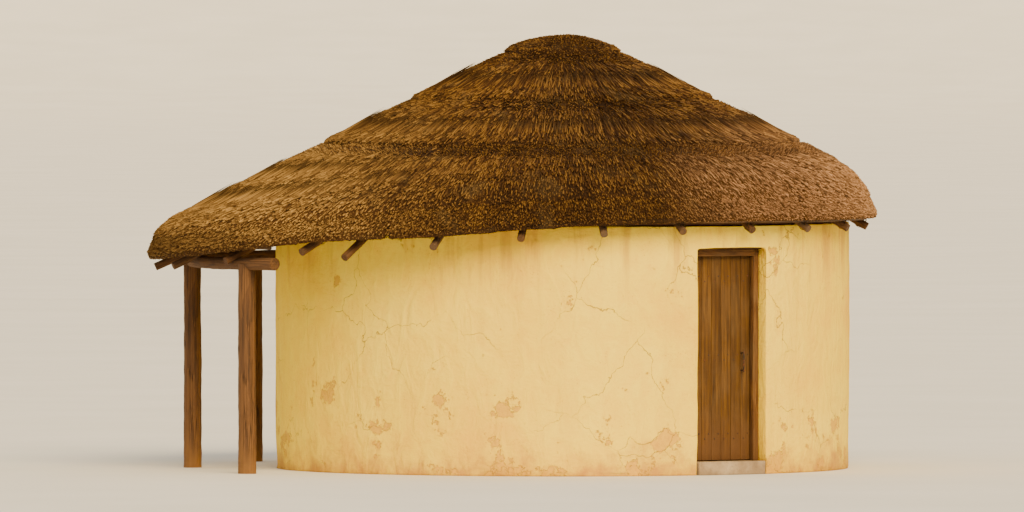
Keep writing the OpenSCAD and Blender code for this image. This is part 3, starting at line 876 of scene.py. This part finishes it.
def poleTree():
    # turns lines into crooked, tapering round poles with closed ends
    tree, given, result = newGrowth("roundPoles", step=0.07, sides=12, crook=0.01, taper=0.1, swell=0.05)
    line = put(tree, "GeometryNodeMeshToCurve", {"Mesh": given["Geometry"]}).outputs[0]
    line = put(tree, "GeometryNodeResampleCurve", {"Curve": line, "Length": given["step"]},
               mode="LENGTH").outputs[0]
    place = put(tree, "GeometryNodeInputPosition").outputs[0]
    seed = attributeIn(tree, "tint")
    bend = noiseEach(tree, place, product(tree, seed, 40.0), 0.9, 1.5)[1]
    bend = vectorSum(tree, "SUBTRACT", bend, (0.5, 0.5, 0.5))
    bend = scaledVector(tree, bend, product(tree, given["crook"], 3.0))
    line = put(tree, "GeometryNodeSetPosition", {"Geometry": line, "Offset": bend}).outputs[0]
    spline = put(tree, "GeometryNodeSplineParameter").outputs
    line = storeIn(tree, line, "along", spline[1])
    narrowing = productPlus(tree, spline[0], product(tree, given["taper"], -1.0), 1.0)
    knots = noiseEach(tree, place, product(tree, seed, 17.0), 3.4, 2.0)[0]
    knots = calculate(tree, "SUBTRACT", knots, 0.5)
    girth = productPlus(tree, knots, product(tree, given["swell"], 2.0), 0.97)
    girth = product(tree, product(tree, girth, narrowing), attributeIn(tree, "girth"))
    hoop = circle(tree, given["sides"], 1.0)
    hoop = storeIn(tree, hoop, "ring", put(tree, "GeometryNodeInputPosition").outputs[0], "FLOAT_VECTOR")
    skin = put(tree, "GeometryNodeCurveToMesh", {
        "Curve": line, "Profile Curve": hoop, "Scale": girth, "Fill Caps": True}).outputs[0]
    facing = put(tree, "GeometryNodeInputNormal").outputs[0]
    dents = put(tree, "ShaderNodeTexNoise", {"Vector": place, "Scale": 9.0, "Detail": 2.0}).outputs[0]
    dents = product(tree, calculate(tree, "SUBTRACT", dents, 0.5), attributeIn(tree, "girth"))
    skin = put(tree, "GeometryNodeSetPosition", {
        "Geometry": skin, "Offset": scaledVector(tree, facing, product(tree, dents, 0.16))}).outputs[0]
    return closeGrowth(tree, skin, given, result)


def islands(node):
    # the separate solids of a node, each as rows of corners
    work = mergedCopy(node)
    left = set(work.verts)
    found = []
    while left:
        stack = [left.pop()]
        island = []
        while stack:
            v = stack.pop()
            island.append(v.co[:])
            for e in v.link_edges:
                other = e.other_vert(v)
                if other in left:
                    left.remove(other)
                    stack.append(other)
        found.append(np.array(island))
    work.free()
    return sorted(found, key=lambda points: tuple(points.mean(axis=0)))


def rafterLine(points):
    # the middle line of a sloping pole, from its ends
    middle = points.mean(axis=0)
    heading = np.array([middle[0], middle[1], 0.0])
    heading /= np.linalg.norm(heading)
    reach = points @ heading
    inner = points[reach < reach.min() + pole["endSlice"]].mean(axis=0)
    outer = points[reach > reach.max() - pole["endSlice"]].mean(axis=0)
    return [outer, inner]  # the thick end is at the eave


def ringLine(points, step):
    # the middle line of a ring or of a part of one, and whether it closes
    reach = radii(points)
    radius = (reach.min() + reach.max()) / 2
    height = (points[:, 2].min() + points[:, 2].max()) / 2
    turns = np.sort(np.arctan2(points[:, 1], points[:, 0]))
    gaps = np.diff(np.append(turns, turns[0] + 2 * math.pi))
    widest = int(gaps.argmax())
    closed = gaps[widest] < 0.3
    start = turns[(widest + 1) % len(turns)]
    sweep = 2 * math.pi - (0 if closed else gaps[widest])
    count = max(6, int(sweep * radius / step))
    last = count if closed else count + 1
    angles = [start + sweep * i / count for i in range(last)]
    return [np.array([radius * math.cos(a), radius * math.sin(a), height]) for a in angles], closed


def ringPoles(node, look, girth=1.0):
    # the solids of a node, each as a ring's line, whether it closes, and its radius
    lines = []
    for points in islands(node):
        line, closed = ringLine(points, look["step"])
        lines.append((line, closed, girth * (points[:, 2].max() - points[:, 2].min()) / 2))
    return lines


def linesMesh(name, lines):
    # lines as (points, closed, radius), to be turned into poles
    points, edges, girths, tints = [], [], [], []
    for number, (line, closed, radius) in enumerate(lines):
        first = len(points)
        points += line
        edges += [(first + i, first + i + 1) for i in range(len(line) - 1)]
        if closed:
            edges.append((first + len(line) - 1, first))
        girths += [radius] * len(line)
        tints += [spreadOut(number, 0.21)] * len(line)
    mesh = meshOf(name, points, edges)
    storedFloat(mesh, "girth", girths)
    storedFloat(mesh, "tint", tints)
    return mesh


def makePoles(name, nodes, lines, look, tree, material):
    values = {key: look[key] for key in ("step", "sides", "crook", "taper", "swell")}
    mesh = grown(looseObject(name, linesMesh(name, lines)), tree, material=material, **values)
    for v in mesh.vertices:
        v.co.z = max(v.co.z, 0.0)
    newPiece(name, mesh, "hut", material, nodes)


def makeFrame():
    tree = poleTree()
    bark = poleMaterial("gumPole")
    lath = poleMaterial("lathPole", grey=0.25)
    for name, node in rafterNames.items():
        lines = [(rafterLine(points), False, pole["rafterRadius"]) for points in islands(node)]
        makePoles(name, [node], lines, pole, tree, bark)
    beamMiddle = sum(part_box("porch_beam"), Vector()).z / 2
    for name, node in postNames.items():
        low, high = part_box(node)
        middle = (low + high) / 2
        line = [(middle.x, middle.y, -pole["postFoot"]), (middle.x, middle.y, min(high.z, beamMiddle))]
        radius = pole["postGirth"] * (high.x - low.x) / 2
        makePoles(name, [node], [(line, False, radius)], postPole, tree, bark)
    makePoles("porchBeam", ["porch_beam"], ringPoles("porch_beam", pole), beamPole, tree, bark)
    for name, node in battenNames.items():
        makePoles(name, [node], ringPoles(node, batten, batten["girth"]), batten, tree, lath)


makeFrame()
print("roof frame and porch made")


# ties of grass rope, where a pole crosses another

ties = {
    "steps": 12,
    "sides": 3,
    "cord": 0.060,  # thickness, against the loop's reach
    "snug": 1.06,  # the loop's reach, against the poles'
    "wide": 1.3,  # against the rafter's radius
    "stray": 0.16,
    "endGap": 0.03,  # no tie nearer than this to a rafter's end
    "nearBy": 0.08,
    "search": 0.02,
    "rope": (124, 94, 54),
    "ropeDark": (70, 50, 27),
}


def ropeMaterial():
    material, tree, shader = newMaterial("grassRope", roughness=0.9, specular=0.1)
    place = objectPlace(tree)
    around = storedOn(tree, "along")
    tint = storedOn(tree, "tint")
    strands = calculate(tree, "SINE", product(tree, around, 140.0))
    fibres = noiseValue(tree, place, 160.0, detail=4)
    mixed = productPlus(tree, strands, 0.14, productPlus(tree, tint, 0.4, fibres))
    coat = colourRamp(tree, mixed, [(0.35, ties["ropeDark"]), (0.95, ties["rope"])])
    finish(tree, shader, coat, bumped(tree, strands, 0.002, 0.8))
    return material


def tieTree():
    # an oval loop of cord round each crossing, standing square to its heading
    tree, given, result = newGrowth("ropeTies", steps=12, sides=3, cord=0.06, stray=0.1, seed=3)
    hoop = circle(tree, given["steps"], 1.0)
    hoop = storeIn(tree, hoop, "along", put(tree, "GeometryNodeSplineParameter").outputs[0])
    strand = circle(tree, given["sides"], given["cord"])
    loop = put(tree, "GeometryNodeCurveToMesh", {"Curve": hoop, "Profile Curve": strand}).outputs[0]
    stray = scaledVector(tree, randomVector(tree, given["seed"]), given["stray"])
    turn = turnedTo(tree, vectorSum(tree, "ADD", vectorIn(tree, "heading"), stray), "Z")
    turn = put(tree, "FunctionNodeAlignRotationToVector", {
        "Rotation": turn, "Vector": vectorIn(tree, "standing")}, axis="Y", pivot_axis="Z").outputs[0]
    loops = standOn(tree, given["Geometry"], loop, turn, vectorIn(tree, "reach"))
    tint = randomFloat(tree, 0.0, 1.0, given["seed"], 1.0)
    loops = storeIn(tree, loops, "tint", tint, domain="INSTANCE")
    return closeGrowth(tree, loops, given, result)


def crossings(under, over, underRadius, overRadius):
    # where straight poles pass under rings: place, heading and reach of two crossed loops each
    rows = []
    for line in under:
        butt, tip = np.array(line[0]), np.array(line[1])
        length = np.linalg.norm(tip - butt)
        along = (tip - butt) / length
        side = np.cross(along, (0, 0, 1))
        side /= np.linalg.norm(side)
        up = np.cross(side, along)
        for ring in over:
            places = np.array(ring)
            offset = (places - butt) @ side
            forward = (places - butt) @ along
            beside = (forward > ties["endGap"]) & (forward < length - ties["endGap"])
            away = np.where(beside, np.abs(offset), math.inf)
            nearest = int(away.argmin())
            if away[nearest] > ties["nearBy"]:
                continue
            place = butt + along * forward[nearest]
            lift = float((places[nearest] - place) @ up)
            if not 0 < lift < 3 * (underRadius + overRadius):
                continue
            middle = place + up * (lift + overRadius - underRadius) / 2
            tall = (lift + overRadius + underRadius) / 2
            for turn in (-1, 1):
                heading = (along + turn * side) / math.sqrt(2)
                rows.append((middle, heading, up, underRadius * ties["wide"], tall))
    return rows


def makeTies():
    rafters = [rafterLine(points) for node in rafterNames.values() for points in islands(node)]
    rings = [ringLine(points, ties["search"])[0] for node in battenNames.values() for points in islands(node)]
    rows = crossings(rafters, rings, pole["rafterRadius"], batten["radius"])
    mesh = meshOf("ropeTies", [row[0] for row in rows])
    storedVector(mesh, "heading", [row[1] for row in rows])
    storedVector(mesh, "standing", [row[2] for row in rows])
    storedVector(mesh, "reach", [(row[3] * ties["snug"], row[4] * ties["snug"], row[4]) for row in rows])
    rope = ropeMaterial()
    mesh = grown(looseObject("ropeTies", mesh), tieTree(), material=rope,
                 **{key: ties[key] for key in ("steps", "sides", "cord", "stray")})
    newPiece("ropeTies", mesh, "hut", rope)
    print("  ", len(rows), "loops,", len(mesh.polygons), "faces")


makeTies()
print("rafters and battens tied")


# timber of the doorway

timber = {
    "dark": (52, 33, 17),
    "brown": (90, 59, 29),
    "pale": (126, 92, 52),
    "boardDark": (49, 31, 9),
    "board": (86, 56, 17),
    "boardPale": (118, 82, 31),
    "grey": (104, 84, 58),
    "soil": (92, 62, 34),
}
timberShades = [timber[key] for key in ("dark", "brown", "pale")]
boardShades = [timber[key] for key in ("boardDark", "board", "boardPale")]

iron = {"dark": (40, 36, 34), "brown": (66, 48, 38), "rust": (122, 70, 38)}


def timberMaterial(name, grain, shades, weather=0.35):
    # grain is the stretch of the pattern: small along the wood, large across it
    material, tree, shader = newMaterial(name, roughness=0.78, specular=0.25)
    place = objectPlace(tree)
    tint = storedOn(tree, "tint")
    shifted = fromAxes(tree, 0.0, 0.0, product(tree, tint, 13.0))
    local = vectorSum(tree, "ADD", place, shifted)
    turned = stretched(tree, local, (1, 1, 1), (0, 0, -doorTurn))
    lines = noiseValue(tree, stretched(tree, turned, grain), 1.0, detail=7, rough=0.62, distortion=0.6)
    broad = noiseValue(tree, turned, 2.6, detail=4)
    coat = colourRamp(tree, lines, [*zip((0.30, 0.50, 0.72), shades)])
    height = axesOf(tree, place)[2]
    wet = remap(tree, productPlus(tree, broad, -0.5, height), -0.1, 0.45, 0.75, 0.0)
    coat = coated(
        tree, coat,
        (remap(tree, tint, 0.0, 1.0, 0.0, 0.38), shades[0]),
        (remap(tree, broad, 0.42, 0.66, 0.0, weather), timber["grey"]),
        (wet, timber["soil"]))
    finish(tree, shader, coat, bumped(tree, lines, 0.004, 0.9))
    return material


def ironMaterial():
    material, tree, shader = newMaterial("forgedIron", roughness=0.62, specular=0.4, metallic=0.35)
    place = objectPlace(tree)
    rust = noiseValue(tree, place, 26.0, detail=7, rough=0.7)
    coat = colourRamp(tree, rust, [(0.36, iron["dark"]), (0.52, iron["brown"]), (0.68, iron["rust"])])
    finish(tree, shader, coat, bumped(tree, rust, 0.0015, 0.8), remap(tree, rust, 0.3, 0.7, 0.5, 0.85))
    return material


def earthMaterial(name, shades, scale):
    material, tree, shader = newMaterial(name, roughness=0.95, specular=0.1)
    place = objectPlace(tree)
    broad = noiseValue(tree, place, scale, detail=6, rough=0.62)
    fine = noiseValue(tree, place, scale * 14, detail=5, rough=0.6)
    coat = colourRamp(tree, broad, [*zip((0.34, 0.52, 0.70), shades)])
    coat = blendColour(tree, remap(tree, fine, 0.52, 0.72, 0.0, 0.4), coat, shades[0])
    finish(tree, shader, coat, bumped(tree, fine, 0.004, 0.9))
    return material


def softened(name, nodes, bevel, wander, cell, body, material):
    # the nodes' own shapes with worn corners and a slightly uneven surface
    joined = bmesh.new()
    for number, node in enumerate(nodes):
        work = mergedCopy(node)
        bmesh.ops.dissolve_limit(work, angle_limit=0.01, verts=work.verts, edges=work.edges)
        rounded(work, 0.6, bevel, clamp_overlap=True)
        if cell:
            for _ in range(3):
                long = [e for e in work.edges if e.calc_length() > 2 * cell]
                if long:
                    bmesh.ops.subdivide_edges(work, edges=long, cuts=1, use_grid_fill=True)
        work.normal_update()
        bmesh.ops.triangulate(work, faces=work.faces)
        if wander:
            moves = {v: v.normal * (noise.noise(v.co / unevenSize + Vector((number, 2, 5))) - 0.5) * wander
                     for v in work.verts if v.co.z > 0.001}
            for v, move in moves.items():
                v.co += move
        addTo(joined, work)
    mesh = asMesh(joined, name)
    mesh.shade_smooth()
    mesh.set_sharp_from_angle(angle=creaseAngle)
    newPiece(name, mesh, body, material, nodes)


door = {
    "boards": 6,
    "gap": 0.003,
    "corner": 0.004,
    "warp": 0.003,
    "edgeWander": 0.0006,
    "lengthCuts": 30,
    "nailRadius": 0.0075,
    "nailLift": 0.001,  # the middle of a nail's head before the boards
    "nailPlaces": (0.3, 0.7),  # across a board, and up the ledge behind it
    "ledge": 0.12,  # height of a ledge
    "ledgeSlack": 0.003,
}

unevenSize = 0.11  # of the lumps in worn timber and stone

doorwayPieces = {  # piece: nodes, worn corner, unevenness, length of a face, slot, body, finish
    "doorFrame": (
        ["door_jamb_left", "door_jamb_right"], 0.004, 0.002, 0.12, "frame_timber", "hut", "upright"),
    "doorHead": (["door_head"], 0.004, 0.002, 0.12, "frame_timber", "hut", "level"),
    "lintelBeam": (["lintel"], 0.006, 0.003, 0.12, "frame_timber", "hut", "level"),
    "doorLedges": (["door_ledges"], 0.003, 0.001, 0.12, "door_board", "door", "level"),
    "doorStraps": (["door_hinges"], 0.0008, 0.0, 0, "black_iron", "door", "iron"),
    "hingePlates": (["hinge_plates"], 0.0008, 0.0, 0, "black_iron", "hut", "iron"),
    "pullHandle": (["door_handle"], 0.0015, 0.0, 0, "black_iron", "door", "iron"),
}


def boardsMesh():
    # upright boards side by side, each with worn edges and its own slight warp
    low, high = inDoorway("door_leaf")
    joined = bmesh.new()
    tints = []
    width = (high[0] - low[0]) / door["boards"]
    for number in range(door["boards"]):
        left = low[0] + number * width + (door["gap"] / 2 if number else 0)
        right = low[0] + (number + 1) * width - (door["gap"] / 2 if number < door["boards"] - 1 else 0)
        work = bmesh.new()
        bmesh.ops.create_cube(work, size=1.0)
        size = Vector((right - left, high[1] - low[1], high[2] - low[2]))
        middle = Vector(((left + right) / 2, (low[1] + high[1]) / 2, (low[2] + high[2]) / 2))
        for v in work.verts:
            v.co = Vector(a * b for a, b in zip(v.co, size)) + middle
        rounded(work, 0.6, door["corner"])
        upright = [e for e in work.edges if e.calc_length() > 1.0]
        bmesh.ops.subdivide_edges(work, edges=upright, cuts=door["lengthCuts"], use_grid_fill=True)
        for v in work.verts:
            sway = noise.noise(Vector((number * 5.0, 0.0, v.co.z * 1.7))) * door["warp"]
            v.co.y += min(0.0, sway) if v.co.y > middle.y else max(0.0, sway)
            v.co.x += noise.noise(Vector((number * 3.0 + 9, v.co.z * 6, v.co.x))) * door["edgeWander"]
        tints += [spreadOut(number, 0.4)] * addTo(joined, work)
    bmesh.ops.transform(joined, matrix=fromDoor, verts=joined.verts)
    mesh = asMesh(joined, "doorBoards")
    storedFloat(mesh, "tint", tints)
    mesh.shade_smooth()
    mesh.set_sharp_from_angle(angle=creaseAngle)
    return mesh


def nailTree():
    # a low round nail head on each point, facing away from the boards
    tree, given, result = newGrowth("nailHeads", nailRadius=0.007)
    head = put(tree, "GeometryNodeMeshUVSphere", {"Segments": 8, "Rings": 6, "Radius": 1.0}).outputs[0]
    head = put(tree, "GeometryNodeTransform", {"Geometry": head, "Scale": (1.0, 0.35, 1.0)}).outputs[0]
    turn = turnedTo(tree, vectorIn(tree, "facing"), "Y")
    size = product(tree, given["nailRadius"], randomFloat(tree, 0.8, 1.15, 5))
    heads = standOn(tree, given["Geometry"], head, turn, size)
    return closeGrowth(tree, heads, given, result)


def ledgeHeights():
    # bottom and top of the level ledges, told from the slanting braces by their flat tops
    heights = np.unique(np.round(nodePoints("door_ledges")[:, 2], 4))
    return [(float(low), float(high)) for number, low in enumerate(heights) for high in heights[number + 1:]
            if abs(high - low - door["ledge"]) < door["ledgeSlack"]]


def nailPoints():
    # nails through the boards into each ledge, two to a board
    low, high = inDoorway("door_leaf")
    width = (high[0] - low[0]) / door["boards"]
    front = low[1] - door["nailLift"]
    places = [(low[0] + (number + part) * width, front, bottom + (top - bottom) * part)
              for bottom, top in ledgeHeights() for number in range(door["boards"])
              for part in door["nailPlaces"]]
    return [fromDoor @ Vector(place) for place in places]


def makeDoorway():
    finishes = {
        "upright": timberMaterial("frameTimber", (40.0, 40.0, 3.0), timberShades),
        "level": timberMaterial("crossTimber", (3.0, 40.0, 40.0), timberShades),
        "iron": ironMaterial(),
    }
    boardWood = timberMaterial("doorBoard", (34.0, 34.0, 1.8), boardShades, 0.20)
    for name, (nodes, corner, wander, cell, slot, body, finishName) in doorwayPieces.items():
        softened(name, nodes, corner, wander, cell, body, finishes[finishName])
    newPiece("doorBoards", boardsMesh(), "door", boardWood, ["door_leaf"])

    points = nailPoints()
    mesh = meshOf("doorNails", points)
    storedVector(mesh, "facing", [tuple(fromDoor.to_3x3() @ Vector((0, -1, 0)))] * len(points))
    nails = grown(looseObject("doorNails", mesh), nailTree(), nailRadius=door["nailRadius"],
                  material=finishes["iron"])
    newPiece("doorNails", nails, "door", finishes["iron"])


makeDoorway()
print("door hung")


# floor, sill, plate and boss

ground = {
    "sillPattern": 2.4,
    "sill": ((112, 92, 72), (150, 128, 102), (182, 162, 134)),
    "floorPattern": 1.2,
    "floor": ((96, 66, 42), (124, 88, 58), (148, 110, 74)),
}


def painted(node, material):
    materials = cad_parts[node].data.materials
    materials.clear()
    materials.append(material)


def makeRest():
    stone = earthMaterial("sillStone", ground["sill"], ground["sillPattern"])
    softened("doorSill", ["threshold"], 0.010, 0.005, 0.10, "hut", stone)
    painted("floor_slab", earthMaterial("earthFloor", ground["floor"], ground["floorPattern"]))
    boss = timberMaterial("bossTimber", (3.0, 3.0, 22.0), timberShades, 0.2)
    painted("wall_plate", boss)
    painted("king_boss", boss)


makeRest()
print("floor and sill laid")


# floor, backdrop and light

stageLook = {
    "floor": (222, 218, 210),
    "floorPale": (227, 223, 216),
    "floorRings": (60.0, 200.0, 420.0),
    "bowlHeight": 200.0,
    "bowlSteps": 16,
    "sides": 96,
    "sky": (236, 234, 228),
    "skyStrength": 1.0,
    "sunColour": (255, 226, 168),
    "sunStrength": 6.5,
    "sunTurn": 17.0,  # degrees from straight ahead towards the right
    "sunHeight": 33.0,
    "sunSoftness": 40.0,
}


def bowlMesh():
    # a level floor that curves up far away into a plain backdrop all round
    rings = [(reach, 0.0) for reach in stageLook["floorRings"]]
    edge = stageLook["floorRings"][-1]
    rise = stageLook["bowlHeight"]
    for i in range(1, stageLook["bowlSteps"] + 1):
        turn = math.pi / 2 * i / stageLook["bowlSteps"]
        rings.append((edge + rise * math.sin(turn), rise * (1 - math.cos(turn))))
    sides = stageLook["sides"]
    turns = [2 * math.pi * k / sides for k in range(sides)]
    points = [(0.0, 0.0, 0.0)]
    faces = []
    for reach, height in rings:
        points += [(reach * math.cos(turn), reach * math.sin(turn), height) for turn in turns]
    for k in range(sides):
        following = (k + 1) % sides
        faces.append((0, 1 + k, 1 + following))
        for ring in range(len(rings) - 1):
            near, distant = 1 + ring * sides, 1 + (ring + 1) * sides
            faces.append((near + k, distant + k, distant + following, near + following))
    mesh = meshOf("paleFloor", points, faces=faces)
    mesh.shade_smooth()
    return mesh


def makeStage():
    mesh = bowlMesh()
    material, tree, shader = newMaterial("paleFloor", roughness=0.95, specular=0.1)
    shade = noiseValue(tree, objectPlace(tree), 0.35, detail=3)
    coat = colourRamp(tree, shade, [(0.35, stageLook["floor"]), (0.65, stageLook["floorPale"])])
    finish(tree, shader, coat)
    mesh.materials.append(material)
    floor = looseObject("paleFloor", mesh)

    world = bpy.data.worlds.new("paleSky")
    world.use_nodes = True
    background = world.node_tree.nodes["Background"]
    background.inputs["Color"].default_value = tone(stageLook["sky"])
    background.inputs["Strength"].default_value = stageLook["skyStrength"]
    bpy.context.scene.world = world

    data = bpy.data.lights.new("softSun", "SUN")
    data.energy = stageLook["sunStrength"]
    data.color = tone(stageLook["sunColour"])[:3]
    data.angle = math.radians(stageLook["sunSoftness"])
    sun = looseObject("softSun", data)
    turn = math.radians(stageLook["sunTurn"])
    height = math.radians(stageLook["sunHeight"])
    away = Vector((math.sin(turn) * math.cos(height), -math.cos(turn) * math.cos(height), math.sin(height)))
    sun.rotation_euler = away.to_track_quat("Z", "Y").to_euler()


makeStage()
print("stage set")

bpy.context.view_layer.update()
